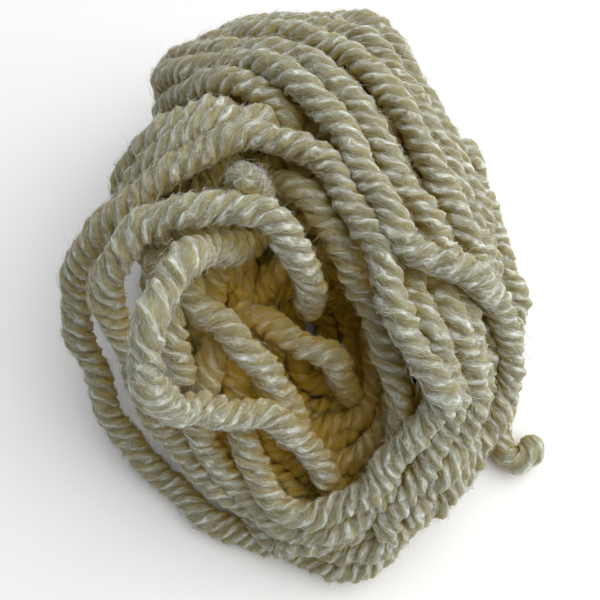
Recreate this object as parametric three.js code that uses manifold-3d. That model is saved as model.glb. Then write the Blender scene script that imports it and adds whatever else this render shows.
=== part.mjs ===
// A small skein of cream four-ply yarn, wound by hand and laid down as a loose ring with a funnel-shaped
// hollow. Under the top strands lies the wound ring itself: one long strand that goes round twenty times
// and moves over by its own width each time. A few strands cross it, arch over the hollow or stand off at
// the left. The last stretch of yarn stands off at the right and ends in a small curl on the table.
//
// Millimetres, +Z up, the table at z = 0, the origin under the middle of the skein's box.
// Hours are read on a clock face round the hollow, seen from above: 12 is +Y and 3 is +X.

import * as THREE from "three";
import { mergeVertices } from "three/addons/utils/BufferGeometryUtils.js";
import Module from "manifold-3d";

// Driving dimensions
const YARN = 3.2; // diameter of the yarn
const MIDDLE = { x: -0.5, y: -6.5 }; // middle of the clock face
const TURNS = 20; // turns of the wound ring
const BLUNT = 2.6; // how square the ring's section is: 2 would be an ellipse
const SETTLE = 0.8; // how much of the underside the table presses flat
const STRAND_SIDES = 6; // sides of a strand that is joined to the ring
const STRAND_STEP = 4; // longest straight stretch along such a strand
const END_SIDES = 8; // sides of the loose end
const END_STEP = 2; // its longest straight stretch, short enough for the curl
const HOUR_STEPS = 36; // straight stretches round the ring

// The section of the wound ring at each hour. Reach is measured from the middle of the clock face: inner
// is the edge of the hollow at the crown, foot its edge on the table, outer the outside. Crown is the
// height of the top.
const RING = [
  { hour: 12, inner: 9.5, foot: 1.5, outer: 37.2, crown: 29 },
  { hour: 1, inner: 7, foot: 3, outer: 28, crown: 28 },
  { hour: 2, inner: 6.5, foot: 4, outer: 22.5, crown: 26 },
  { hour: 3, inner: 7, foot: 2, outer: 22, crown: 22 },
  { hour: 4, inner: 10, foot: 1.5, outer: 23, crown: 16.5 },
  { hour: 5, inner: 13, foot: 1.5, outer: 24.5, crown: 13 },
  { hour: 6, inner: 13, foot: 1.5, outer: 25.5, crown: 10 },
  { hour: 7, inner: 10, foot: 1.5, outer: 19.5, crown: 9.5 },
  { hour: 8, inner: 8, foot: 1.5, outer: 17, crown: 13 },
  { hour: 9, inner: 7.5, foot: 1.5, outer: 18, crown: 17 },
  { hour: 10, inner: 9, foot: 1.5, outer: 23.4, crown: 24 },
  { hour: 11, inner: 9.5, foot: 1.5, outer: 32.3, crown: 28 },
];

// One turn's outline across the yarn: where along the pitch a point lies, and how deep under the surface.
const RIDGE = [
  { at: -0.23, depth: 0.1 },
  { at: 0.23, depth: 0.1 },
  { at: 0.5, depth: 1.1 },
];

// The strands over the ring, each through its bends [x, y, z].
const STRANDS = {
  // Comes up at the far left, runs down the right side over its neighbours and round the near end.
  crossing_turn: [
    [-12.5, 17, 8], [-17.5, 22, 12], [-16.5, 22, 21], [-11, 18, 27], [-6, 16, 30], [-1.5, 13, 31.5],
    [3, 7, 31.5], [6, -0.5, 31], [8, -3.5, 30.5], [11.5, -5.5, 30], [15.5, -6, 27], [19, -7.5, 20],
    [20, -13.5, 12.5], [16.5, -20.5, 8.5], [9.5, -26.3, 5.5],
  ],
  // Goes on from it: stands off at the left, climbs over the top as the rim of the hollow, and dips into it.
  rim_turn: [
    [9.5, -26.3, 5.5], [6.5, -30.5, 4], [2.5, -31, 3], [-1.5, -29, 2.5], [-10.5, -26, 2], [-18.7, -19.7, 4],
    [-24, -12, 10], [-25.3, -4.2, 19], [-21.6, -0.9, 26], [-15.7, 2.5, 30], [-9, 6.5, 31.5],
    [-2.5, 6.5, 31.5], [2.5, 2, 31], [5.5, -4.5, 30], [8.5, -10.5, 28], [11.5, -15, 25], [12.5, -17, 23],
    [10, -19.5, 20], [7.5, -21.5, 17], [6, -24, 14.5], [2.5, -26, 12.5], [-1, -26.5, 12],
    [-5.5, -23, 12.5], [-8, -16, 15.5], [-8.5, -9, 15.5], [-7.5, 2.5, 13],
  ],
  // Turns side by side on the right shoulder, the outermost one at the far side, and two flanks.
  second_turn: [
    [-12.5, 19.5, 7], [-17.5, 24.5, 11], [-16.5, 24, 20], [-9.5, 20.7, 26.7], [-2.5, 17.5, 30], [3, 12.5, 31],
    [7, 5.5, 30], [10, 0.5, 28.5], [12.5, -3, 26], [15, -8.5, 22.5], [17.3, -14, 16], [13, -21.7, 11],
    [8.5, -27.5, 7.5],
  ],
  third_turn: [
    [-12, 22, 6], [-16.4, 26, 10], [-14.8, 25.8, 18.3], [-8.5, 25, 24], [-0.5, 22, 27.5], [6.5, 16, 28.5],
    [11, 8, 27.5], [14, 2, 26], [16.5, -2.5, 23.5], [18.5, -7.5, 18.5], [18.5, -14.5, 12], [13.3, -22, 8.5],
    [8.5, -27.5, 4.5],
  ],
  fourth_turn: [
    [-12, 25, 9], [-13.5, 29.5, 14.5], [-7.5, 29, 20], [-0.5, 26.5, 23.5], [5.5, 22.5, 26], [9.5, 17, 26],
    [13, 10, 25], [15.5, 4, 23.5], [18, -0.5, 19], [19, -6, 14], [16, -12, 9],
  ],
  far_turn: [
    [-10.5, 24, 5], [-16, 28.5, 8], [-13.9, 30, 13.6], [-8.5, 31.5, 17.5], [-0.5, 30.5, 19.5],
    [7, 28.5, 20.5], [10.5, 24, 21], [14, 15.5, 20.5], [17.5, 8, 18.5], [19.5, 2, 15], [20.5, -4, 10],
    [17, -10, 6],
  ],
  near_flank: [
    [8.5, -4, 26], [9.5, -10, 27.5], [12, -14.5, 24.5], [13.5, -17, 20], [11, -22, 14.5], [7.5, -28.5, 8.5],
  ],
  outer_flank: [[11, -4.5, 25], [13.5, -10, 25], [16, -14.5, 19.5], [14.5, -20, 14], [9.5, -26.5, 9]],
  // The arch over the hollow, up from the near end along the left side, and the loop in front of it.
  arch: [
    [8.5, -27.5, 7.5], [4, -29.5, 6], [-2, -27.5, 6], [-10, -22.5, 9], [-16.1, -17.3, 13], [-18.6, -11.4, 21],
    [-19.7, -8, 28], [-16.5, -4.5, 33], [-10, -2.5, 35], [-4.5, -3, 34], [-1, -5.5, 27.5], [-0.5, -6, 21],
    [0, -3.5, 15.5], [1, 2, 13],
  ],
  front_loop: [
    [-7, -1, 24], [-10.5, -6.5, 33.5], [-13, -11, 36], [-14.5, -15.5, 34.5], [-14, -18.5, 28],
    [-10.5, -18, 22.5], [-4.5, -17.5, 18.5], [0, -20.5, 14], [2.5, -24, 8],
  ],
  // The turn that lines the lower lip and right wall of the hollow, and the strands that cross inside it.
  lip_turn: [
    [-13.5, -15, 17], [-11, -19.5, 12], [-6.5, -24.5, 9.5], [0, -28, 9], [5.5, -25.5, 11.5], [9, -18, 17],
    [7, -11, 22], [3.6, -4.5, 25.5], [1, 0, 28], [-1.5, 3, 28], [-4.5, 6, 25],
  ],
  high_cross: [
    [-17.5, 0, 17], [-15, -4, 22.5], [-11.2, -8.3, 24.5], [-6.5, -11.8, 23], [-3.8, -14.6, 19],
    [-2.2, -17, 14], [-0.7, -19, 9],
  ],
  low_cross: [
    [-8.5, -5.3, 16.5], [-4.7, -7.9, 18.3], [-2.6, -9.2, 19], [0.1, -10.5, 18.5], [2.6, -11.5, 16],
    [4.6, -12.6, 7],
  ],
  inner_left: [[-9, -8, 18], [-10.5, -12.5, 19.5], [-13, -17, 13]],
  // Short lengths on the left shoulder that run in under the rest, and the yarn's first end, pointing up.
  left_shoulder: [
    [-18, 3, 12], [-21, 6, 19], [-18.5, 7, 25.5], [-14.5, 9, 29.5], [-10.5, 11.5, 29.5], [-8.5, 13, 26],
    [-7.5, 14, 20],
  ],
  rim_neighbour: [
    [-17, 1, 13], [-20, 4, 20.5], [-17.5, 5, 27], [-12.5, 7, 31], [-8, 9, 31], [-5, 10.5, 29],
    [-3, 11.5, 24],
  ],
  far_shoulder: [
    [-18, 19.5, 16], [-14.5, 18, 23], [-9.5, 16, 28.5], [-5.5, 14, 29.5], [-2.5, 9.5, 27.5],
    [-0.5, 8.5, 23],
  ],
  first_end: [[-5.5, 2.5, 24], [-6, 1, 32], [-6.5, -0.5, 36.5]],
};

// The loose end: away from the right side, down to the table and round in a small curl.
const LOOSE_END = [
  [16.8, 15.2, 18], [18.7, 12.6, 16], [20, 10, 13.5], [21.5, 7.5, 11], [23, 4.5, 8.5], [24.5, 1.5, 6],
  [25.2, -1, 4], [24.8, -4.5, 2.5], [24, -8, 2], [23.2, -11, 1.8], [22.8, -13.6, 1.8], [22.6, -16.2, 1.8],
  [23.1, -18, 1.8], [24.5, -18.3, 1.8], [25.7, -17.2, 1.9], [26.3, -15.6, 2.2],
];

const yarnMaterial = new THREE.MeshStandardMaterial({ color: 0xd9d3b4, roughness: 0.75, metalness: 0 });

// The ring's sizes at any hour, on a smooth closed curve through the twelve rows.
const HOURS = RING.length;
const ringCurve = Object.fromEntries(
  ["inner", "foot", "outer", "crown"].map((column) => [
    column,
    (hour) => {
      const row = (k) => RING[(Math.floor(hour) + k + HOURS) % HOURS][column];
      const t = hour - Math.floor(hour);
      const [a, b, c, d] = [row(-1), row(0), row(1), row(2)];
      const bend = 2 * a - 5 * b + 4 * c - d;
      const twist = 3 * b - a - 3 * c + d;
      return 0.5 * (2 * b + (c - a) * t + bend * t ** 2 + twist * t ** 3);
    },
  ]),
);

// A point of the ring's surface. Place runs once round the section: inner wall, crown, outer wall, underside.
function ringPoint(hour, place, depth) {
  const [inner, foot, outer, crown] = Object.values(ringCurve).map((size) => size(hour % HOURS));
  const around = Math.PI * (1 - 2 * place);
  const square = (v) => Math.sign(v) * Math.abs(v) ** (2 / BLUNT);
  const across = square(Math.cos(around));
  const up = square(Math.sin(around));
  const shown = THREE.MathUtils.smoothstep(up, -0.9, -0.4); // the turns are pressed flat underneath
  const inset = depth * shown;
  const runIn = ((inner - foot) * (1 - across) * (1 - up)) / 4;
  const reach = (inner + outer) / 2 + ((outer - inner) / 2 - inset) * across - runIn;
  const height = crown / 2 + (crown / 2 - inset) * up;
  const pressed = (Math.max(height - SETTLE, 0) * crown) / (crown - SETTLE);
  const angle = (hour / HOURS) * 2 * Math.PI;
  return [MIDDLE.x + reach * Math.sin(angle), MIDDLE.y + reach * Math.cos(angle), pressed];
}

// The wound ring as one closed surface whose ridges are the turns. Going once round, each ridge meets the
// next one.
function woundRing() {
  const columns = TURNS * RIDGE.length;
  const positions = [];
  for (let step = 0; step < HOUR_STEPS; step++) {
    const hour = (step / HOUR_STEPS) * HOURS;
    for (let turn = 0; turn < TURNS; turn++)
      for (const { at, depth } of RIDGE)
        positions.push(...ringPoint(hour, (turn + at + hour / HOURS) / TURNS, depth));
  }
  const index = [];
  for (let step = 0; step < HOUR_STEPS; step++) {
    const last = step === HOUR_STEPS - 1;
    const next = last ? 0 : step + 1;
    const shift = last ? RIDGE.length : 0;
    for (let column = 0; column < columns; column++) {
      const beside = (column + 1) % columns;
      const a = step * columns + column;
      const b = step * columns + beside;
      const c = next * columns + ((beside + shift) % columns);
      const d = next * columns + ((column + shift) % columns);
      index.push(a, c, b, a, d, c);
    }
  }
  const geometry = new THREE.BufferGeometry();
  geometry.setAttribute("position", new THREE.Float32BufferAttribute(positions, 3));
  geometry.setIndex(index);
  return geometry;
}

// A strand of yarn through its bends, with cut ends.
function strand(bends, sides, step) {
  const points = bends.map((bend) => new THREE.Vector3(...bend));
  const path = new THREE.CatmullRomCurve3(points, false, "catmullrom");
  const corners = Array.from({ length: sides }, (_, k) => {
    const angle = (k / sides) * 2 * Math.PI;
    return new THREE.Vector2(Math.cos(angle), Math.sin(angle)).multiplyScalar(YARN / 2);
  });
  const steps = Math.ceil(path.getLength() / step);
  const shape = new THREE.Shape(corners);
  return new THREE.ExtrudeGeometry(shape, { steps, bevelEnabled: false, extrudePath: path });
}

const wasm = await Module();
wasm.setup();

function solidOf(geometry) {
  const bare = geometry.clone();
  bare.deleteAttribute("normal");
  bare.deleteAttribute("uv");
  const merged = mergeVertices(bare);
  const vertProperties = new Float32Array(merged.attributes.position.array);
  const triVerts = new Uint32Array(merged.index.array);
  return new wasm.Manifold(new wasm.Mesh({ numProp: 3, vertProperties, triVerts }));
}

function geometryOf(solid) {
  const { vertProperties, triVerts } = solid.getMesh();
  const geometry = new THREE.BufferGeometry();
  geometry.setAttribute("position", new THREE.BufferAttribute(vertProperties, 3));
  geometry.setIndex(new THREE.BufferAttribute(triVerts, 1));
  geometry.computeVertexNormals();
  return geometry;
}

function namedMesh(name, geometry) {
  const mesh = new THREE.Mesh(geometry, yarnMaterial);
  mesh.name = name;
  return mesh;
}

const woundYarn = Object.values(STRANDS).reduce(
  (whole, bends) => whole.add(solidOf(strand(bends, STRAND_SIDES, STRAND_STEP))),
  solidOf(woundRing()),
);

const skein = new THREE.Group();
skein.add(namedMesh("wound_yarn", geometryOf(woundYarn)));
skein.add(namedMesh("loose_end", strand(LOOSE_END, END_SIDES, END_STEP)));

export default skein;
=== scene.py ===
# %% [markdown]
# # A small skein of plied yarn
#
# This lesson dresses one soft object: a hand-wound skein of cream yarn that lies on a table as a loose
# ring. The real thing is a single strand, a few metres long, twisted from four plies. Nothing in it is a
# block or a sheet, so every shape below is one idea repeated: a twisted profile carried along a path.

import math

import bpy
import numpy as np
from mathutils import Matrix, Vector


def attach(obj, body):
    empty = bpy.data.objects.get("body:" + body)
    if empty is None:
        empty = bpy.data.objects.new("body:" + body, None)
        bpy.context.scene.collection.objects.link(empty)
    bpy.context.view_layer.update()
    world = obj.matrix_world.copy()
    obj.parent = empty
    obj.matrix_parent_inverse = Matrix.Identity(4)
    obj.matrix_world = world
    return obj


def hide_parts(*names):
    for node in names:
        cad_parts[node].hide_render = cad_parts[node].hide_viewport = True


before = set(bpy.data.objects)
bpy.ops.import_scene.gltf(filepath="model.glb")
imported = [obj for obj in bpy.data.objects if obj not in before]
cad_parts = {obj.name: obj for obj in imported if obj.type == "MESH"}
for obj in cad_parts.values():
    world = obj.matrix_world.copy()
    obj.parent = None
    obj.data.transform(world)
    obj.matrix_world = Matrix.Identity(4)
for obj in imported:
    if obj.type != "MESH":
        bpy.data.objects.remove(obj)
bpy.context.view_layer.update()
MM = 0.001

# %% [markdown]
# ## The camera
#
# The picture was taken by hand from close above, so near strands look clearly larger than far ones. A
# camera 90 mm from the middle of the skein and 68 degrees above the table gives the same perspective. The
# lens is written as pixels of a 600 pixel wide picture, because that is how it was worked out.

# %% Camera
PICTURE = 600
FOCAL = 844
AIM = np.array([-1.5, -4.7, 18.0])
ELEVATION = math.radians(68)
DISTANCE = 90

camera = bpy.data.objects.new("camera", bpy.data.cameras.new("camera"))
bpy.context.scene.collection.objects.link(camera)
camera.data.lens = camera.data.sensor_width * FOCAL / PICTURE
camera.data.clip_start = 5 * MM
eye = AIM + DISTANCE * np.array([0, -math.cos(ELEVATION), math.sin(ELEVATION)])
camera.location = eye * MM
camera.rotation_euler = (math.pi / 2 - ELEVATION, 0, 0)
bpy.context.scene.camera = camera
print("camera at", np.round(eye, 1), "mm, lens", round(camera.data.lens, 1), "mm")

# %% [markdown]
# ## How the yarn lies
#
# A skein like this could be simulated, but a simulation wouldn't lie the way this one does. So its lie is
# written down as a maker would note it. First comes the wound ring: for each hour of a clock face, seen
# from above, how far the inside and the outside reach from the middle and how high the crown is. Then
# come the strands that cross the ring, each through a few bends in millimetres.

# %% The wound ring, hour by hour, and the strands over it
# All sizes are in millimetres. A section with the power 2 is an ellipse, and a higher power is squarer.
YARN = 3.2
MIDDLE = np.array([-0.5, -6.5])
BLUNT = 2.6

RING = np.array([
    # inner, foot, outer, crown
    (9.5, 1.5, 37.2, 29),  # 12 o'clock, the far end
    (7, 3, 28, 28),
    (6.5, 4, 22.5, 26),
    (7, 2, 22, 22),  # 3 o'clock, the right side
    (10, 1.5, 23, 16.5),
    (13, 1.5, 24.5, 13),
    (13, 1.5, 25.5, 10),  # 6 o'clock, the near end
    (10, 1.5, 19.5, 9.5),
    (8, 1.5, 17, 13),
    (7.5, 1.5, 18, 17),  # 9 o'clock, the left side
    (9, 1.5, 23.4, 24),
    (9.5, 1.5, 32.3, 28),
])

STRANDS = {
    # Comes up at the far left, runs down the right side, round the near end, stands off at the left, climbs
    # over the top as the rim of the hollow and dips into it.
    "rim_turn": [
        (-12.5, 17, 8), (-17.5, 22, 12), (-16.5, 22, 21), (-11, 18, 27), (-6, 16, 30), (-1.5, 13, 31.5),
        (3, 7, 31.5), (6, -0.5, 31), (8, -3.5, 30.5), (11.5, -5.5, 30), (15.5, -6, 27), (19, -7.5, 20),
        (20, -13.5, 12.5), (16.5, -20.5, 8.5), (9.5, -26.3, 5.5), (6.5, -30.5, 4), (2.5, -31, 3),
        (-1.5, -29, 2.5), (-10.5, -26, 2), (-18.7, -19.7, 4), (-24, -12, 10), (-25.3, -4.2, 19),
        (-21.6, -0.9, 26), (-15.7, 2.5, 30), (-9, 6.5, 31.5), (-2.5, 6.5, 31.5), (2.5, 2, 31),
        (5.5, -4.5, 30), (8.5, -10.5, 28), (11.5, -15, 25), (12.5, -17, 23), (10, -19.5, 20),
        (7.5, -21.5, 17), (6, -24, 14.5), (2.5, -26, 12.5), (-1, -26.5, 12), (-5.5, -23, 12.5),
        (-8, -16, 15.5), (-8.5, -9, 15.5), (-7.5, 2.5, 13),
    ],
    # Beside it over the right shoulder, then up the left side and over the hollow as an arch.
    "arch_turn": [
        (-12.5, 19.5, 7), (-17.5, 24.5, 11), (-16.5, 24, 20), (-9.5, 20.7, 26.7), (-2.5, 17.5, 30),
        (3, 12.5, 31), (7, 5.5, 30), (10, 0.5, 28.5), (12.5, -3, 26), (15, -8.5, 22.5), (17.3, -14, 16),
        (13, -21.7, 11), (8.5, -27.5, 7.5), (4, -29.5, 6), (-2, -27.5, 6), (-10, -22.5, 9),
        (-16.1, -17.3, 13), (-18.6, -11.4, 21), (-19.7, -8, 28), (-16.5, -4.5, 33), (-10, -2.5, 35),
        (-4.5, -3, 34), (-1, -5.5, 27.5), (-0.5, -6, 21), (0, -3.5, 15.5), (1, 2, 13),
    ],
    # The next turns outwards on the right shoulder, and the flanks below the crossing.
    "third_turn": [
        (-12, 22, 6), (-16.4, 26, 10), (-14.8, 25.8, 18.3), (-8.5, 25, 24), (-0.5, 22, 27.5),
        (6.5, 16, 28.5), (11, 8, 27.5), (14, 2, 26), (16.5, -2.5, 23.5), (18.5, -7.5, 18.5),
        (18.5, -14.5, 12), (13.3, -22, 8.5), (8.5, -27.5, 4.5),
    ],
    "fourth_turn": [
        (-12, 25, 9), (-13.5, 29.5, 14.5), (-7.5, 29, 20), (-0.5, 26.5, 23.5), (5.5, 22.5, 26),
        (9.5, 17, 26), (13, 10, 25), (15.5, 4, 23.5), (18, -0.5, 19), (19, -6, 14), (16, -12, 9),
    ],
    "far_turn": [
        (-10.5, 24, 5), (-16, 28.5, 8), (-13.9, 30, 13.6), (-8.5, 31.5, 17.5), (-0.5, 30.5, 19.5),
        (7, 28.5, 20.5), (10.5, 24, 21), (14, 15.5, 20.5), (17.5, 8, 18.5), (19.5, 2, 15), (20.5, -4, 10),
        (17, -10, 6),
    ],
    "near_flank": [
        (8.5, -4, 26), (9.5, -10, 27.5), (12, -14.5, 24.5), (13.5, -17, 20), (11, -22, 14.5),
        (7.5, -28.5, 8.5),
    ],
    "outer_flank": [(11, -4.5, 25), (13.5, -10, 25), (16, -14.5, 19.5), (14.5, -20, 14), (9.5, -26.5, 9)],
    # The loop that stands up in front of the arch, the lip of the hollow, and what crosses inside it.
    "front_loop": [
        (-7, -1, 24), (-10.5, -6.5, 33.5), (-13, -11, 36), (-14.5, -15.5, 34.5), (-14, -18.5, 28),
        (-10.5, -18, 22.5), (-4.5, -17.5, 18.5), (0, -20.5, 14), (2.5, -24, 8),
    ],
    "lip_turn": [
        (-13.5, -15, 17), (-11, -19.5, 12), (-6.5, -24.5, 9.5), (0, -28, 9), (5.5, -25.5, 11.5),
        (9, -18, 17), (7, -11, 22), (3.6, -4.5, 25.5), (1, 0, 28), (-1.5, 3, 28), (-4.5, 6, 25),
    ],
    "high_cross": [
        (-17.5, 0, 17), (-15, -4, 22.5), (-11.2, -8.3, 24.5), (-6.5, -11.8, 23), (-3.8, -14.6, 19),
        (-2.2, -17, 14), (-0.7, -19, 9),
    ],
    "low_cross": [
        (-8.5, -5.3, 16.5), (-4.7, -7.9, 18.3), (-2.6, -9.2, 19), (0.1, -10.5, 18.5), (2.6, -11.5, 16),
        (4.6, -12.6, 7),
    ],
    "hollow_floor": [
        (-8, -3, 3), (-5, -11, 2.5), (1, -12.5, 2), (7, -9, 2), (8.2, -3, 2.5), (7, 2.5, 3), (1.5, 4, 4),
        (-2, 0, 4.5), (-2.2, -5.5, 4), (-1, -9.5, 4.2), (3, -10.5, 4.5), (8, -12, 5),
    ],
    "hollow_bed": [
        (-6, 2, 3), (-1.5, 2.5, 2.5), (1.4, 0, 2.2), (1.8, -4.5, 2), (0, -8, 2), (-4, -9, 2.5), (-8, -7, 3),
    ],
    "inner_left": [(-9, -8, 18), (-10.5, -12.5, 19.5), (-13, -17, 13)],
    "behind_loop": [(-14.5, -6, 24), (-14, -11, 24), (-13, -14, 19)],
    # Short lengths on the left shoulder, and the yarn's first end.
    "left_shoulder": [
        (-18, 3, 12), (-21, 6, 19), (-18.5, 7, 25.5), (-14.5, 9, 29.5), (-10.5, 11.5, 29.5), (-8.5, 13, 26),
        (-7.5, 14, 20),
    ],
    "rim_neighbour": [
        (-17, 1, 13), (-20, 4, 20.5), (-17.5, 5, 27), (-12.5, 7, 31), (-8, 9, 31), (-5, 10.5, 29),
        (-3, 11.5, 24),
    ],
    "far_shoulder": [
        (-18, 19.5, 16), (-14.5, 18, 23), (-9.5, 16, 28.5), (-5.5, 14, 29.5), (-2.5, 9.5, 27.5),
        (-0.5, 8.5, 23),
    ],
    "first_end": [(-5.5, 2.5, 24), (-6, 1, 32), (-6.5, -0.5, 36.5)],
}

LOOSE_END = [
    (16.8, 15.2, 18), (18.7, 12.6, 16), (20, 10, 13.5), (21.5, 7.5, 11), (23, 4.5, 8.5), (24.5, 1.5, 6),
    (25.2, -1, 4), (24.8, -4.5, 2.5), (24, -8, 2), (23.2, -11, 1.8), (22.8, -13.6, 1.8), (22.6, -16.2, 1.8),
    (23.1, -18, 1.8), (24.5, -18.3, 1.8), (25.7, -17.2, 1.9), (26.3, -15.6, 2.2),
]
print(len(STRANDS), "strands over a ring of", len(RING), "hours")

# %% [markdown]
# ## From bends to a path
#
# A strand of yarn bends smoothly, so its bends are joined by a Catmull-Rom curve: a cubic between each
# two bends whose slope at a bend is half the step from the bend before to the bend after. The curve is
# then cut into equal steps, because the twist of the yarn has to run evenly along it.

# %% Paths through bends
CUTS = 16
COARSE = 1.0


def catmull_rom(a, b, c, d, t):
    """The cubic from b to c, with a before and d after them, for t from 0 to 1:
    half of 2b + (c - a) t + (2a - 5b + 4c - d) t squared + (3b - a - 3c + d) t cubed."""
    return 0.5 * (2 * b + (c - a) * t + (2 * a - 5 * b + 4 * c - d) * t**2 + (3 * b - a - 3 * c + d) * t**3)


def path_through(bends, step):
    """Points about a step apart on the Catmull-Rom curve through the bends, mirrored past each end."""
    p = np.asarray(bends, float)
    p = np.vstack([2 * p[0] - p[1], p, 2 * p[-1] - p[-2]])
    t = np.linspace(0, 1, CUTS, endpoint=False)[:, None, None]
    cubic = catmull_rom(p[:-3], p[1:-2], p[2:-1], p[3:], t)
    curve = np.vstack([cubic.transpose(1, 0, 2).reshape(-1, 3), p[-2]])
    run = np.concatenate([[0], np.linalg.norm(np.diff(curve, axis=0), axis=1).cumsum()])
    stops = np.linspace(0, run[-1], int(run[-1] / step) + 2)
    return np.stack([np.interp(stops, run, curve[:, k]) for k in range(3)], axis=1)


strand_paths = {name: path_through(bends, COARSE) for name, bends in STRANDS.items()}
print("strands over the ring:", round(sum(map(len, strand_paths.values())) * COARSE / 1000, 2), "m")

# %% [markdown]
# ## The wound ring
#
# The ring under those strands is a hand-wound bundle, thick at the far end and thin at the near end. At
# any hour its section is a blunt ellipse, so a point on it needs only the hour and a place round the
# section.

# %% A place on the ring
HOURS = len(RING)


def ring_size(hour):
    """The ring's four sizes at any hour, on the closed Catmull-Rom curve through the rows of the table."""
    row = np.floor(hour).astype(int)
    before, here, after, later = (RING[(row + k) % HOURS] for k in (-1, 0, 1, 2))
    return catmull_rom(before, here, after, later, (hour - row)[:, None]).T


def clock_point(hour, reach, height):
    """The point at an hour of the clock face, at a reach from its middle and a height above the table."""
    angle = hour / HOURS * 2 * np.pi
    return np.stack([MIDDLE[0] + reach * np.sin(angle), MIDDLE[1] + reach * np.cos(angle), height], axis=1)


def on_ring(hour, place, depth):
    """A point under the ring's surface: a blunt ellipse between inner and outer, leaning in to the foot.
    Place runs from 0 to 1: inner wall, crown, outer wall, underside and back."""
    inner, foot, outer, crown = ring_size(hour)
    around = np.pi * (1 - 2 * place)
    across, up = (np.sign(v) * np.abs(v) ** (2 / BLUNT) for v in (np.cos(around), np.sin(around)))
    lean = (inner - foot) * (1 - across) * (1 - up) / 4
    reach = (inner + outer) / 2 + ((outer - inner) / 2 - depth) * across - lean
    height = crown / 2 + (crown / 2 - depth) * up
    return clock_point(hour, reach, height)


print("the ring's crown is", RING[:, 3].min(), "to", RING[:, 3].max(), "mm high")

# %% [markdown]
# The wound yarn is one long spiral. Each turn goes once round the clock face while it moves a little way
# round the ring's own section. Where the ring is thin the turns lie in layers: two of every three sink
# under their neighbours. A few slow waves make the turns wander as hand winding does. They come from a
# seeded generator, so every run winds the same skein.

# %% The spiral of the wound ring
TURNS = 30
BENDS_PER_TURN = 30
SINES = 5
SLOWEST, FASTEST = 0.6, 3.7
# The girth of the blunt section over the sum of its width and height.
GIRTH_SHARE = 1.76
# Turns sink in three layers, by shares of the deepest one, and never past a share of the way to the core.
LAYERS = [0.0, 0.6, 1.0]
DEEPEST = 4.5
CORE_SHARE = 0.85
# A turn strays sideways by part of its spacing, and down by part of a millimetre.
STRAY = 0.45
DIP = 0.5


def waves(t, rng):
    """A sum of sines of random speed, in waves per unit of t, and random phase, between about -1 and 1."""
    speed = rng.uniform(SLOWEST, FASTEST, SINES)
    phase = rng.uniform(0, 2 * np.pi, SINES)
    return np.sin(2 * np.pi * speed * t[:, None] + phase).sum(axis=1) / math.sqrt(SINES)


rng = np.random.default_rng(4)
turn = np.linspace(0, TURNS, TURNS * BENDS_PER_TURN + 1)
hour = HOURS * turn % HOURS
inner, _, outer, crown = ring_size(hour)
spacing = GIRTH_SHARE * (outer - inner + crown) / TURNS
crowding = np.clip((YARN - spacing) / (YARN / 2), 0, 1)
layer = np.choose(np.floor(turn).astype(int) % len(LAYERS), LAYERS)
thinnest = np.minimum(outer - inner, crown) / 2
sunk = np.minimum(YARN / 2 + DEEPEST * crowding * layer, CORE_SHARE * thinnest)
stray = STRAY * waves(turn, rng) / TURNS
depth = sunk + DIP + DIP * waves(turn, rng)
ring_path = path_through(on_ring(hour, (turn / TURNS + stray) % 1, depth), COARSE)
print("wound ring:", TURNS, "turns,", round(len(ring_path) * COARSE / 1000, 2), "m of yarn")

# %% [markdown]
# ## Letting the strands push each other aside
#
# Two strands can't share one place. Before they can be pushed apart, the places where they meet have to
# be found. Comparing every point with every other would be slow, so the points are first sorted into
# cubes, and only neighbouring cubes are compared.

# %% Finding what is near
# Strands press into each other a little, so they touch at less than the yarn's full thickness.
TOUCH = 0.82 * YARN


def close_pairs(points, reach):
    """Pairs of points in the same or in neighbouring cubes of size reach, with every nearer pair among them.
    Each cube looks at itself and at 13 of the 26 around it, so no pair comes twice."""
    cube = np.floor(points / reach).astype(int)
    cube -= cube.min(axis=0) - 1
    size = cube.max(axis=0) + 2
    weight = np.array([size[1] * size[2], size[2], 1])
    key = cube @ weight
    order = np.argsort(key, kind="stable")
    shifts = np.stack(np.meshgrid(*[[-1, 0, 1]] * 3, indexing="ij"), axis=-1).reshape(-1, 3)[13:]
    found = []
    for shift in shifts:
        first = np.searchsorted(key[order], key + shift @ weight, "left")
        count = np.searchsorted(key[order], key + shift @ weight, "right") - first
        i = np.repeat(np.arange(len(points)), count)
        j = order[np.arange(count.sum()) + np.repeat(first - count.cumsum() + count, count)]
        found.append(np.stack([i, j])[:, (i < j) | bool(shift.any())])
    return np.concatenate(found, axis=1)


heap = [ring_path, *strand_paths.values(), path_through(LOOSE_END, COARSE)]
print(close_pairs(np.concatenate(heap), TOUCH).shape[1], "pairs of points lie near each other")

# %% [markdown]
# Wherever two strands come too close, both are pushed apart, the ring's soft turns far more than the
# strands on top, whose lie is known. A few dozen small pushes, each followed by a little smoothing,
# settle the whole heap. The table pushes back as well.

# %% Settling
ROUNDS = 40
# How easily each gives way: 1 is free, 0 is fixed.
RING_GIVE, STRAND_GIVE, LOOSE_GIVE = 1.0, 0.08, 0.02
# The shares of an overlap, of the way to an even curve and of the way home that one round covers.
PUSH = 0.8
SMOOTHING = 0.3
HOMING = 0.12
# A strand is never pushed by its own yarn just ahead.
OWN_REACH = 2.5 * YARN


def away_from_core(points):
    """The direction to each point from the middle of the ring's section at its hour."""
    hour = np.arctan2(points[:, 0] - MIDDLE[0], points[:, 1] - MIDDLE[1]) / (2 * np.pi) * HOURS % HOURS
    inner, _, outer, crown = ring_size(hour)
    away = points - clock_point(hour, (inner + outer) / 2, crown / 2)
    return away / np.maximum(np.linalg.norm(away, axis=1), 0.1)[:, None]


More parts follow.
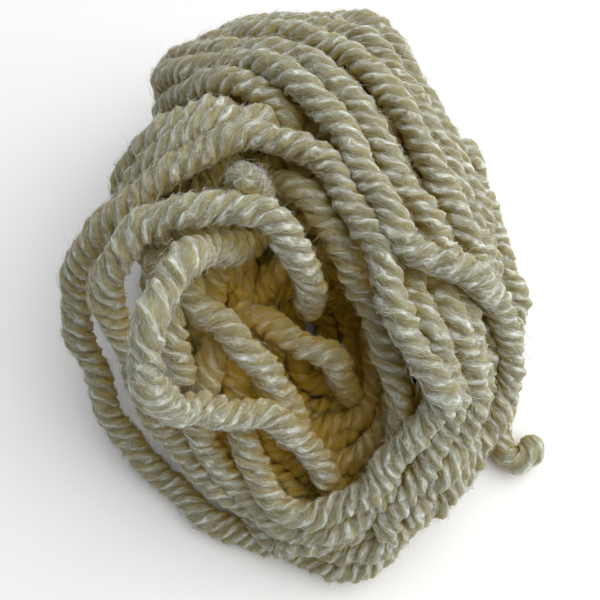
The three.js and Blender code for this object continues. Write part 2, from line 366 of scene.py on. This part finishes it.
def settle(paths, give):
    """Moves overlapping points apart along the line between them, each by how easily it gives, then smooths.
    The first path is the ring: it may sink towards its own core, and it never swells."""
    lengths = [len(path) for path in paths]
    points = np.concatenate(paths)
    home = points.copy()
    ring = slice(0, lengths[0])
    outwards = away_from_core(points[ring])
    strand = np.repeat(np.arange(len(paths)), lengths)
    give = np.repeat(give, lengths)
    inside = np.concatenate([[False], (strand[2:] == strand[:-2]), [False]])
    for _ in range(ROUNDS):
        i, j = close_pairs(points, TOUCH)
        apart = points[j] - points[i]
        gap = np.linalg.norm(apart, axis=1)
        ring_only = (strand[i] == 0) & (strand[j] == 0)
        strangers = (strand[i] != strand[j]) | (np.abs(i - j) * COARSE > OWN_REACH)
        meet = (gap < TOUCH) & ~ring_only & strangers
        i, j, apart, gap = i[meet], j[meet], apart[meet], gap[meet]
        push = apart / np.maximum(gap, 0.05)[:, None] * (TOUCH - gap)[:, None]
        share = (give[i] / (give[i] + give[j]))[:, None]
        move, hits = np.zeros_like(points), np.zeros(len(points))
        np.add.at(move, i, -push * share)
        np.add.at(move, j, push * (1 - share))
        np.add.at(hits, np.concatenate([i, j]), 1)
        move[ring] -= outwards * np.maximum((move[ring] * outwards).sum(axis=1), 0)[:, None]
        points += PUSH * move / np.maximum(hits, 1)[:, None]
        even = (points[:-2] + points[2:]) / 2 - points[1:-1]
        points[1:-1] += SMOOTHING * give[1:-1, None] * even * inside[1:-1, None]
        points += HOMING * (home - points) * (1 - give)[:, None]
        points[:, 2] = np.maximum(points[:, 2], YARN / 2)
    print("settled", len(points), "points, still", len(i), "close pairs, mean overlap",
          round(float((TOUCH - gap).mean()), 2), "mm, moved", np.round(np.abs(points - home).max(axis=0), 1))
    return np.split(points, np.cumsum(lengths)[:-1])


settled = settle(heap, [RING_GIVE] + [STRAND_GIVE] * len(strand_paths) + [LOOSE_GIVE])
ring_path = settled[0]
strand_paths = dict(zip(strand_paths, settled[1:-1]))

# %% [markdown]
# ## Plied yarn
#
# Four plies twisted together have a section like a clover leaf: the outer edge of four circles that
# overlap. Carrying that section along the path while it turns gives the ropy look. Modelled plies would
# cost four tubes for each strand, and this needs one.

# %% The clover section
PLIES = 4
AROUND = 24
FINE = 0.4
PLY_RADIUS = 0.6 * YARN / 2
PLY_OFFSET = YARN / 2 - PLY_RADIUS

section_angle = np.arange(AROUND) / AROUND * 2 * np.pi
ply_count = section_angle * PLIES / (2 * np.pi) + 0.5
nearest_ply = np.floor(ply_count).astype(int) % PLIES
# The outer edge is offset cos f + sqrt(radius squared - (offset sin f) squared), where f is the angle
# from the middle of the nearest ply.
from_ply = (ply_count % 1 - 0.5) * 2 * np.pi / PLIES
clover = PLY_OFFSET * np.cos(from_ply) + np.sqrt(PLY_RADIUS**2 - (PLY_OFFSET * np.sin(from_ply)) ** 2)
print(PLIES, "plies, yarn", round(2 * clover.min(), 2), "to", round(2 * clover.max(), 2), "mm thick")

# %% [markdown]
# The twist runs the way of the middle stroke of the letter S. Its lay is the length of one full turn:
# longer where the yarn is pulled over the top, and shorter where it lies slack near the table. Spun yarn
# is never even, so the path is crimped a little, each ply is thicker and thinner by turns, and the skin
# is lumpy.

# %% The twisted profile
# A run is the length of yarn over which an unevenness comes and goes.
CRIMP, CRIMP_RUN = 0.24, 22
LAY, LAY_PULLED, PULLED_HEIGHT = 6.2, 0.8, 30
LAY_UNEVEN, LAY_RUN = 0.5, 60
PLY_FAT, PLY_SWAY, PLY_RUN = 0.09, 0.28, 5
YARN_FAT, YARN_RUN = 0.03, 25
LUMP = 0.08
# Wound yarn is squeezed a little slimmer than free yarn.
SLIM = 0.97
# A cut end is rounded over this length, down to a small share of it at the very tip.
ROUNDING = 1.6
TIP = 0.004


def carried_frames(path):
    """Two sideways directions along a path that turn with its bends and never spin about it."""
    along = np.gradient(path, axis=0)
    along /= np.linalg.norm(along, axis=1)[:, None]
    side = np.empty_like(along)
    side[0] = np.cross(along[0], np.eye(3)[np.argmin(np.abs(along[0]))])
    for k in range(1, len(path)):
        side[k] = side[k - 1] - along[k] * (side[k - 1] @ along[k])
        side[k] /= math.sqrt(side[k] @ side[k])
    side[0] /= np.linalg.norm(side[0])
    return side, np.cross(along, side)


def twisted_yarn(path, rng):
    """The clover section carried along the crimped path and turned by a full circle in each lay. Its radius
    follows each ply's and the whole yarn's thickness, and its two ends are rounded."""
    run = np.arange(len(path)) * FINE
    side, up = carried_frames(path)
    sideways, upwards = (waves(run / CRIMP_RUN, rng)[:, None] for _ in range(2))
    path = path + CRIMP * (sideways * side + upwards * up)
    path[:, 2] = np.maximum(path[:, 2], YARN / 2)
    side, up = carried_frames(path)
    pulled = np.clip(path[:, 2] / PULLED_HEIGHT, 0, 1)
    lay = LAY + LAY_PULLED * pulled + LAY_UNEVEN * waves(run / LAY_RUN, rng)
    twist = -np.cumsum(2 * np.pi * FINE / lay) + rng.uniform(0, 6)
    fat, sway = (np.stack([waves(run / PLY_RUN, rng) for _ in range(PLIES)], axis=1) for _ in range(2))
    swell = 1 + PLY_FAT * fat[:, nearest_ply] + YARN_FAT * waves(run / YARN_RUN, rng)[:, None]
    radius = SLIM * clover * swell
    lumps = rng.normal(size=radius.shape)
    for axis in (0, 1):
        lumps = (np.roll(lumps, 1, axis) + 2 * lumps + np.roll(lumps, -1, axis)) / math.sqrt(6)
    radius = radius + LUMP * lumps
    from_end = np.clip(np.minimum(run, run[::-1]) / ROUNDING, TIP, 1)
    radius = radius * np.sqrt(1 - (1 - from_end) ** 2)[:, None]
    turned = twist[:, None] + section_angle + PLY_SWAY * sway[:, nearest_ply] * np.cos(from_ply * PLIES / 2)
    ring = np.cos(turned)[..., None] * side[:, None] + np.sin(turned)[..., None] * up[:, None]
    skin = path[:, None] + radius[..., None] * ring
    skin[..., 2] = np.maximum(skin[..., 2], 0)
    return skin


print("the plies go once round in", LAY, "to", LAY + LAY_PULLED, "mm")

# %% [markdown]
# ## Meshes from grids
#
# Every strand is now a grid of points: rings along the path, each with the same number of points around.
# A mesh needs the points and four corner numbers for each cell of the grid. A UV map that counts
# millimetres along the yarn and plies around it lets the material draw fibres that follow the twist.

# %% Grid to mesh
def yarn_mesh(name, grids):
    """One mesh of several closed tubes. A cell joins point k of a ring with k + 1 and with the next ring."""
    points, corners, uv, closers = [], [], [], []
    start = 0
    for grid in grids:
        rings = len(grid)
        r, k = np.meshgrid(np.arange(rings - 1), np.arange(AROUND), indexing="ij")
        n = (k + 1) % AROUND
        near, far = r * AROUND, (r + 1) * AROUND
        cell = np.stack([near + k, near + n, far + n, far + k], axis=-1)
        corners.append(start + cell.reshape(-1, 4))
        u = np.stack([r, r, r + 1, r + 1], axis=-1) * FINE
        v = np.stack([k, k + 1, k + 1, k], axis=-1) / AROUND * PLIES
        uv.append(np.stack([u, v], axis=-1).reshape(-1, 2))
        first = start + np.arange(AROUND)
        closers += [first[::-1], first + (rings - 1) * AROUND]
        points.append(grid.reshape(-1, 3))
        start += rings * AROUND
    points, corners, uv = (np.concatenate(part) for part in (points, corners, uv))
    closers = np.array(closers)
    mesh = bpy.data.meshes.new(name)
    mesh.vertices.add(len(points))
    mesh.vertices.foreach_set("co", (points * MM).ravel().astype(np.float32))
    loops = np.concatenate([corners.ravel(), closers.ravel()])
    mesh.loops.add(len(loops))
    mesh.loops.foreach_set("vertex_index", loops.astype(np.int32))
    starts = np.concatenate([np.arange(len(corners)) * 4, corners.size + np.arange(len(closers)) * AROUND])
    mesh.polygons.add(len(starts))
    mesh.polygons.foreach_set("loop_start", starts.astype(np.int32))
    mesh.polygons.foreach_set("use_smooth", np.ones(len(starts), bool))
    layer = mesh.uv_layers.new(name="along_and_around")
    uv = np.concatenate([uv, np.zeros((closers.size, 2))])
    layer.data.foreach_set("uv", uv.ravel().astype(np.float32))
    mesh.update()
    mesh.validate()
    piece = bpy.data.objects.new(name, mesh)
    bpy.context.scene.collection.objects.link(piece)
    print(name, len(corners) * 2 + len(closers) * (AROUND - 2), "triangles")
    return piece


print("a strand's grid has", AROUND, "points around, and a ring every", FINE, "mm")

# %% [markdown]
# ## Colours and nodes
#
# Two helpers serve every material. Colours are written as sRGB hex values, as a paint program shows them,
# and Blender wants linear numbers. A node is added with its settings and its links in one call.

# %% Helpers for materials
def linear(code):
    """An sRGB hex colour as linear numbers: the sRGB curve, backwards."""
    part = np.array([int(code[k:k + 2], 16) for k in (0, 2, 4)]) / 255
    return (*np.where(part <= 0.04045, part / 12.92, ((part + 0.055) / 1.055) ** 2.4), 1.0)


def add(tree, kind, settings=(), **links):
    """Adds a node: settings are its properties or socket values, links join its inputs to nodes' sockets."""
    node = tree.nodes.new(kind)
    for key, value in dict(settings).items():
        if isinstance(key, str) and hasattr(node, key):
            setattr(node, key, value)
        else:
            node.inputs[key].default_value = value
    for key, socket in links.items():
        tree.links.new(socket, node.inputs[key.replace("_", " ")])
    return node


print("half-bright sRGB is", round(float(linear("808080")[0]), 3), "in linear numbers")

# %% [markdown]
# ## The yarn's material
#
# Cream wool-type yarn is a bundle of clear, faintly yellow fibres. Light that strikes it once comes back
# pale and a little shiny along the fibres. Light that has gone from strand to strand comes back deep
# olive, because each fibre takes some of the blue. Subsurface scattering stands for the short way that
# light goes inside one strand. The long way between strands is painted shade: colours chosen by how
# buried a place is.

# %% Plied yarn, spun and twisted
yarn = bpy.data.materials.new("cream_plied_yarn_spun_and_twisted")
yarn.use_nodes = True
tree = yarn.node_tree
shader = tree.nodes["Principled BSDF"]
# Crossed fibres scatter the highlight: the yarn is matt, with a faint bloom of sheen at its edges.
shader.inputs["Roughness"].default_value = 0.6
shader.inputs["IOR"].default_value = 1.54
shader.inputs["Specular IOR Level"].default_value = 0.15
shader.inputs["Sheen Weight"].default_value = 0.1
shader.inputs["Sheen Roughness"].default_value = 0.5
# Light spreads about 2 mm through a strand, blue least, which makes it look soft and its shadows warm.
shader.inputs["Subsurface Weight"].default_value = 1.0
shader.inputs["Subsurface Radius"].default_value = (1.0, 0.95, 0.6)
shader.inputs["Subsurface Scale"].default_value = 2.0 * MM
print("material", yarn.name)

# %% [markdown]
# Fibres run along a ply, and a ply winds round the yarn. So the pattern is drawn on the yarn's skin laid
# flat: the UV map, which counts plies around, is turned by the slant of the plies. It is then measured in
# millimetres along and across a ply.

# %% The skin laid flat
MEAN_LAY = 6.6
GIRTH = YARN * math.pi / PLIES
SLANT = math.atan(YARN * math.pi / MEAN_LAY)
# Crimped fibres wave from side to side by a fifth of a millimetre over a millimetre or so.
FIBRE_WAVE, FIBRE_WAVES_PER_MM = 0.5, 0.9

uv = add(tree, "ShaderNodeUVMap", {"uv_map": "along_and_around"})
along = add(tree, "ShaderNodeVectorMath", {"operation": "DOT_PRODUCT"}, Vector=uv.outputs[0])
along.inputs[1].default_value = (1 / math.cos(SLANT), -GIRTH * math.sin(SLANT), 0)
across = add(tree, "ShaderNodeVectorMath", {"operation": "DOT_PRODUCT"}, Vector=uv.outputs[0])
across.inputs[1].default_value = (0, GIRTH * math.cos(SLANT), 0)
flat = add(tree, "ShaderNodeCombineXYZ", X=along.outputs["Value"], Y=across.outputs["Value"])
sway = add(tree, "ShaderNodeTexNoise", {"Scale": FIBRE_WAVES_PER_MM, "Detail": 1.0}, Vector=flat.outputs[0])
waved = add(tree, "ShaderNodeVectorMath", {"operation": "MULTIPLY_ADD", 1: (0, FIBRE_WAVE, 0)})
tree.links.new(sway.outputs["Color"], waved.inputs[0])
tree.links.new(flat.outputs[0], waved.inputs[2])
print("plies lie", round(math.degrees(SLANT)), "degrees off the yarn's line")

# %% [markdown]
# Two noises stretched along the plies make the fibres. One gives tufts that lie together, the other gives
# single streaks. A real fibre is far too fine to show, so the streaks are drawn several times as wide.
# Their mean lifts the skin a little, and later colours it too.

# %% Tufts and fibres
TUFT_LENGTH, TUFT_WIDTH = 1.5, 0.5
STREAK_LENGTH, STREAK_WIDTH = 0.9, 0.18
RELIEF = 0.15

tuft_scale = (1 / TUFT_LENGTH, 1 / TUFT_WIDTH, 1)
tuft_place = add(tree, "ShaderNodeMapping", {"Scale": tuft_scale}, Vector=waved.outputs[0])
tufts = add(tree, "ShaderNodeTexNoise", {"Detail": 2.0, "Scale": 1.0}, Vector=tuft_place.outputs[0])
streak_scale = (1 / STREAK_LENGTH, 1 / STREAK_WIDTH, 1)
streak_place = add(tree, "ShaderNodeMapping", {"Scale": streak_scale}, Vector=waved.outputs[0])
streaks = add(tree, "ShaderNodeTexNoise", {"Detail": 2.0, "Scale": 1.0}, Vector=streak_place.outputs[0])
height = add(tree, "ShaderNodeMix", {"data_type": "FLOAT", "Factor": 0.5})
tree.links.new(tufts.outputs["Fac"], height.inputs["A"])
tree.links.new(streaks.outputs["Fac"], height.inputs["B"])
relief = {"Strength": 1.0, "Distance": RELIEF * MM}
bump = add(tree, "ShaderNodeBump", relief, Height=height.outputs["Result"])
tree.links.new(bump.outputs["Normal"], shader.inputs["Normal"])
print("fibres stand", RELIEF, "mm off the skin")

# %% [markdown]
# Each ply's crest is painted paler, as a painted highlight, and the creases between plies darker olive, as
# painted shade. High streaks are paler than low ones, partly the fibres' own tone and partly painted glints.
# A cosine across the ply finds the crest, and a colour ramp turns the sum of both into four tones from olive
# to pale cream.

# %% Tones of a strand, with painted highlight and shade
# How much a ply's painted crest highlight counts beside the height of its streaks.
CREST = 0.1

place = add(tree, "ShaderNodeSeparateXYZ", Vector=waved.outputs[0])
phase = add(tree, "ShaderNodeMath", {"operation": "MULTIPLY", 1: 2 * math.pi / (GIRTH * math.cos(SLANT))})
tree.links.new(place.outputs["Y"], phase.inputs[0])
crest = add(tree, "ShaderNodeMath", {"operation": "COSINE"})
tree.links.new(phase.outputs[0], crest.inputs[0])
lit = add(tree, "ShaderNodeMath", {"operation": "MULTIPLY_ADD", 1: CREST})
tree.links.new(crest.outputs[0], lit.inputs[0])
tree.links.new(height.outputs["Result"], lit.inputs[2])
# Painted light: this ramp paints pale glints on ply crests and high streaks and olive shade in the creases
# between plies; the streaks' own spread of tone is the fibres' grain.
grain_and_painted_light = add(tree, "ShaderNodeValToRGB", Fac=lit.outputs[0])
grain_and_painted_light.color_ramp.elements[0].position = 0.33
grain_and_painted_light.color_ramp.elements[0].color = linear("7c7350")
grain_and_painted_light.color_ramp.elements[1].position = 0.7
grain_and_painted_light.color_ramp.elements[1].color = linear("b3b8b2")
grain_and_painted_light.color_ramp.elements.new(0.45).color = linear("7e7b61")
grain_and_painted_light.color_ramp.elements.new(0.56).color = linear("8b8b7d")
print("tones at", [round(stop.position, 2) for stop in grain_and_painted_light.color_ramp.elements])

# %% [markdown]
# Creases between strands and the hollow get painted shade. In a crease the light would have passed more
# fibres and come back olive, so the colour there is painted olive. In the hollow it would have gone through
# many strands, which take its blue first and then its green, so the colour there is painted golden. The
# ambient occlusion node finds the creases. The hollow is a round space in the object's own coordinates.

# %% Painted shade in the creases and the hollow
HOLLOW_MIDDLE = np.array([-2, -8, 5])
HOLLOW_RADII = np.array([13, 14, 18])
# The golden painted shade fades out between these shares of the hollow's radii.
FADE_FROM, FADE_TO = 0.8, 1.5
AIR = 30
BURIED = 0.17

space = add(tree, "ShaderNodeTexCoord")
hollow = add(tree, "ShaderNodeMapping", {"vector_type": "TEXTURE"}, Vector=space.outputs["Object"])
hollow.inputs["Location"].default_value = HOLLOW_MIDDLE * MM
hollow.inputs["Scale"].default_value = HOLLOW_RADII * MM
reach = add(tree, "ShaderNodeVectorMath", {"operation": "LENGTH"})
tree.links.new(hollow.outputs[0], reach.inputs[0])
fade = {"From Min": FADE_FROM, "From Max": FADE_TO}
outside = add(tree, "ShaderNodeMapRange", fade, Value=reach.outputs["Value"])
# Painted shade: where the ambient occlusion node finds little open air, the base colour is painted olive in
# creases and golden in the hollow.
crease_and_hollow_painted_shade = add(tree, "ShaderNodeMix", {"data_type": "RGBA", 6: linear("caa002"), 7: linear("988018")})
tree.links.new(outside.outputs[0], crease_and_hollow_painted_shade.inputs["Factor"])
buried = add(tree, "ShaderNodeAmbientOcclusion", {"samples": 2, "Distance": AIR * MM})
open_air = add(tree, "ShaderNodeMapRange", {"From Min": 0.0, "From Max": BURIED}, Value=buried.outputs["AO"])
skin = add(tree, "ShaderNodeMix", {"data_type": "RGBA"}, Factor=open_air.outputs[0])
tree.links.new(crease_and_hollow_painted_shade.outputs[2], skin.inputs[6])
tree.links.new(grain_and_painted_light.outputs["Color"], skin.inputs[7])
tree.links.new(skin.outputs[2], shader.inputs["Base Color"])
print("creases see less than", BURIED, "of the open air within", AIR, "mm")

# %% [markdown]
# ## Dressing the skein
#
# The strands are made in a few pieces, each small enough to handle. All of them stand for the one wound
# solid.

# %% Strands
RING_PIECES = 3


def dress(piece, node):
    """A finished piece: it has the yarn's material, moves with the one body and hides the plain solid."""
    piece.data.materials.append(yarn)
    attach(piece, "root")
    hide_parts(node)
    return piece


rng = np.random.default_rng(11)
over_grids = [twisted_yarn(path_through(path, FINE), rng) for path in strand_paths.values()]
half = np.cumsum([len(grid) for grid in over_grids]).searchsorted(sum(map(len, over_grids)) / 2) + 1
dress(yarn_mesh("rim_strands", over_grids[:half]), "wound_yarn")
dress(yarn_mesh("crossing_strands", over_grids[half:]), "wound_yarn")

ring_grid = twisted_yarn(path_through(ring_path, FINE), rng)
cuts = np.linspace(0, len(ring_grid) - 1, RING_PIECES + 1).astype(int)
for number, (first, last) in enumerate(zip(cuts[:-1], cuts[1:])):
    dress(yarn_mesh(f"wound_turns_{number + 1}", [ring_grid[first:last + 1]]), "wound_yarn")

# %% [markdown]
# ## The loose end
#
# The last length of yarn stands off at the right, comes down to the table and ends in a small curl.

# %% Loose end
loose_path = path_through(LOOSE_END, FINE)
loose_path[:, 2] = np.maximum(loose_path[:, 2], YARN / 2)
loose_end = dress(yarn_mesh("loose_end_yarn", [twisted_yarn(loose_path, rng)]), "loose_end")

# %% [markdown]
# ## Stray fibres
#
# Spun yarn is never smooth: fibres lie across the plies, bridge the creases and stand off as a thin haze.
# Hair particles could do this, but a plain mesh stays with the object. Only yarn that shows needs fibres,
# so the space that yarn fills is noted first in small cubes. A fibre is then kept where the air outside
# it is empty.

# %% Where there is yarn
CUBE = 0.8
SPACE_LOW = np.array([-45.0, -50.0, -6.0])
SPACE_CUBES = (112, 125, 64)

steps = np.arange(-2, 3)
nearby = np.stack(np.meshgrid(steps, steps, steps, indexing="ij"), axis=-1).reshape(-1, 3) * CUBE
nearby = nearby[np.linalg.norm(nearby, axis=1) < YARN / 2]
centres = np.concatenate([grid.mean(axis=1) for grid in [*over_grids, ring_grid]])
filled = np.zeros(SPACE_CUBES, bool)
filled[tuple(((centres[:, None] + nearby - SPACE_LOW) / CUBE).astype(int).reshape(-1, 3).T)] = True
print("yarn fills", int(filled.sum() * CUBE**3 / 1000), "cubic centimetres")

# %% [markdown]
# A single wool fibre is combed straight before it is spun, and it is clear and glossy. Where it lies deep
# in the skein it is painted olive, as painted shade for the dim yellowed light that reaches it there.

# %% Single wool fibres, with painted shade
fibre_skin = bpy.data.materials.new("single_wool_fibres_combed")
fibre_skin.use_nodes = True
tree = fibre_skin.node_tree
shader = tree.nodes["Principled BSDF"]
# A smooth, full gloss makes each fibre a thin bright line where it faces the window.
shader.inputs["Roughness"].default_value = 0.3
shader.inputs["IOR"].default_value = 1.54
shader.inputs["Specular IOR Level"].default_value = 1.0
buried = add(tree, "ShaderNodeAmbientOcclusion", {"samples": 2, "Distance": AIR * MM})
# Painted shade: the less open air a fibre has around it, the darker and more olive its base colour is
# painted.
fibre_painted_shade = add(tree, "ShaderNodeValToRGB", Fac=buried.outputs["AO"])
fibre_painted_shade.color_ramp.elements[0].position = 0.0
fibre_painted_shade.color_ramp.elements[0].color = linear("98801c")
fibre_painted_shade.color_ramp.elements[1].position = 0.3
fibre_painted_shade.color_ramp.elements[1].color = linear("aaaca4")
fibre_painted_shade.color_ramp.elements.new(0.12).color = linear("8c8762")
tree.links.new(fibre_painted_shade.outputs["Color"], shader.inputs["Base Color"])
print("material", fibre_skin.name)

# %% [markdown]
# First each fibre gets a place. It lies over three points of the yarn's skin, starts near the crest of a
# ply and drifts across the plies on its way. Far more are laid than are needed, and those under other
# strands are dropped.

# %% Places for fibres
SPARE = 6
SHORTEST, LONGEST = 1, 2.6
DRIFT, DRIFT_SPREAD = 0.1, 1.0
CREST_SPREAD = 1.3
# The air is tested this far outside the skin, and the nearest test is at least this far above the table.
AIR_TESTS = (1.4, 2.4, 4.0)
TABLE_GAP = 0.5


def fibre_places(grids, count, rng):
    """Lines of three points on the yarn's skin, and the directions out of it. Span is counted in rings of
    the grid, drift and crest in points around it. A line is kept if the air outside its middle is empty."""
    lines, outs = [], []
    share = np.array([len(grid) for grid in grids], float)
    for grid, n in zip(grids, rng.multinomial(SPARE * count, share / share.sum())):
        span = np.round(rng.uniform(SHORTEST, LONGEST, n)[:, None] * np.arange(3))
        rings = np.minimum(rng.integers(0, len(grid) - 2, n)[:, None] + span, len(grid) - 1).astype(int)
        drift = rng.normal(DRIFT, DRIFT_SPREAD, n)[:, None] * (rings - rings[:, :1])
        crest = rng.integers(0, PLIES, n) * AROUND / PLIES + rng.normal(0, CREST_SPREAD, n)
        columns = np.round(crest[:, None] + drift).astype(int) % AROUND
        skin = grid[rings, columns]
        out = skin - grid.mean(axis=1)[rings]
        out /= np.maximum(np.linalg.norm(out, axis=2, keepdims=True), 0.01)
        lines.append(skin)
        outs.append(out)
    line, out = np.concatenate(lines), np.concatenate(outs)
    air = np.stack([line[:, 1] + out[:, 1] * far for far in AIR_TESTS])
    seen = ~filled[tuple(((air - SPACE_LOW) / CUBE).astype(int).transpose(2, 0, 1))].any(axis=0)
    keep = rng.permutation(np.flatnonzero(seen & (air[0, :, 2] > TABLE_GAP)))[:count]
    return line[keep], out[keep]


print("a fibre is", 2 * SHORTEST * FINE, "to", round(2 * LONGEST * FINE, 1), "mm long")

# %% [markdown]
# Then each fibre is drawn as a thin three-sided spindle, pointed at both ends. Its middle lifts off the
# yarn a little, and about a third of them have a free end that stands off as fuzz. A real fibre is about
# 0.02 mm thick. These are drawn about twice that, so that they show, and far fewer than there are. The
# yarn's first end, where it was cut, gets a denser tuft of its own.

# %% Fibres on the yarn
HAZE, TUFT = 31000, 2000
LIFT, REST = 0.1, 0.02
# A free end rises, and pulls the middle up by a share of that.
FREE_SHARE, FREE_RISE, PULL = 0.35, 0.4, 0.2
BOW = 0.15
# Half the thickness of the thinnest and of the thickest fibre.
THIN, THICK = 0.014, 0.026
LOWEST = 0.1
# The corners of a spindle's six faces: point 0 is a tip, 1 to 3 are its waist, and 4 is the other tip.
SPINDLE = np.array([(0, 2, 1), (0, 3, 2), (0, 1, 3), (1, 2, 4), (2, 3, 4), (3, 1, 4)])
SPINDLE_POINTS = 5


def stray_fibres(name, grids, count, rng):
    """Spindles of five points: a tip, a triangle of the fibre's thickness round its lifted middle, a tip."""
    line, out = fibre_places(grids, count, rng)
    count = len(line)
    lift = rng.exponential(LIFT, count)[:, None] * [0, 1, 0] + REST
    free = np.where(rng.random(count) < FREE_SHARE, rng.exponential(FREE_RISE, count), 0)
    line = line + (lift + free[:, None] * [0, PULL, 1])[..., None] * out
    along = line[:, 2] - line[:, 0]
    along /= np.maximum(np.linalg.norm(along, axis=1, keepdims=True), 0.001)
    across = np.cross(along, out[:, 1])
    line[:, 1] += rng.normal(0, BOW, count)[:, None] * across
    line[..., 2] = np.maximum(line[..., 2], LOWEST)
    thick = rng.uniform(THIN, THICK, count)[:, None, None]
    turn = np.arange(3)[:, None] / 3 * 2 * np.pi
    waist = line[:, 1:2] + thick * (np.cos(turn) * out[:, 1:2] + np.sin(turn) * across[:, None])
    points = np.concatenate([line[:, :1], waist, line[:, 2:]], axis=1).reshape(-1, 3)
    faces = (np.arange(count)[:, None, None] * SPINDLE_POINTS + SPINDLE).reshape(-1, 3)
    mesh = bpy.data.meshes.new(name)
    mesh.from_pydata((points * MM).tolist(), [], faces.tolist())
    mesh.polygons.foreach_set("use_smooth", np.ones(len(faces), bool))
    piece = bpy.data.objects.new(name, mesh)
    bpy.context.scene.collection.objects.link(piece)
    mesh.materials.append(fibre_skin)
    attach(piece, "root")
    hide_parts("wound_yarn")
    print(name, count, "fibres,", len(faces), "triangles")


stray_fibres("haze_on_strands", over_grids, HAZE, rng)
stray_fibres("haze_on_turns", [ring_grid], HAZE, rng)
stray_fibres("tuft_on_first_end", over_grids[-1:], TUFT, rng)

# %% [markdown]
# ## Table and light
#
# The table is plain and pale. One large soft lamp stands high on the right, like a window, and a pale
# even sky stands for the bright room and fills the shadows. The plain display curve keeps the cream as
# pale as it is on the table.

# %% Table
# Half the table's width, in metres.
TABLE = 3

floor_mesh = bpy.data.meshes.new("table")
table_corners = [(-TABLE, -TABLE, 0), (TABLE, -TABLE, 0), (TABLE, TABLE, 0), (-TABLE, TABLE, 0)]
floor_mesh.from_pydata(table_corners, [], [(0, 1, 2, 3)])
floor = bpy.data.objects.new("table", floor_mesh)
bpy.context.scene.collection.objects.link(floor)
# Matt white paper spreads light evenly and shows no reflection of the skein.
paper = bpy.data.materials.new("matt_white_paper")
paper.use_nodes = True
paper.node_tree.nodes["Principled BSDF"].inputs["Base Color"].default_value = linear("d6d5d2")
paper.node_tree.nodes["Principled BSDF"].inputs["Roughness"].default_value = 0.9
floor_mesh.materials.append(paper)
print("table", 2 * TABLE, "m wide")

# %% [markdown]
# A lamp of this size and distance throws a shadow with a wide soft edge. An area lamp shines along its
# own -Z, so its Z is turned to point away from the skein.

# %% Light
WINDOW = Vector((240, 30, 380))
WINDOW_SIZE = 700
WINDOW_WATTS = 4.8
LIT_POINT = Vector((0, 0, 15))
SKY_STRENGTH = 0.5

light = bpy.data.lights.new("window", "AREA")
light.size = WINDOW_SIZE * MM
light.energy = WINDOW_WATTS
window = bpy.data.objects.new("window", light)
window.location = WINDOW * MM
window.rotation_euler = (WINDOW - LIT_POINT).to_track_quat("Z", "Y").to_euler()
bpy.context.scene.collection.objects.link(window)

sky = bpy.data.worlds.new("pale_room")
sky.use_nodes = True
sky.node_tree.nodes["Background"].inputs["Color"].default_value = linear("ecf1fa")
sky.node_tree.nodes["Background"].inputs["Strength"].default_value = SKY_STRENGTH
bpy.context.scene.world = sky
bpy.context.scene.view_settings.view_transform = "Standard"
print("one window of", WINDOW_SIZE, "mm and a pale room")
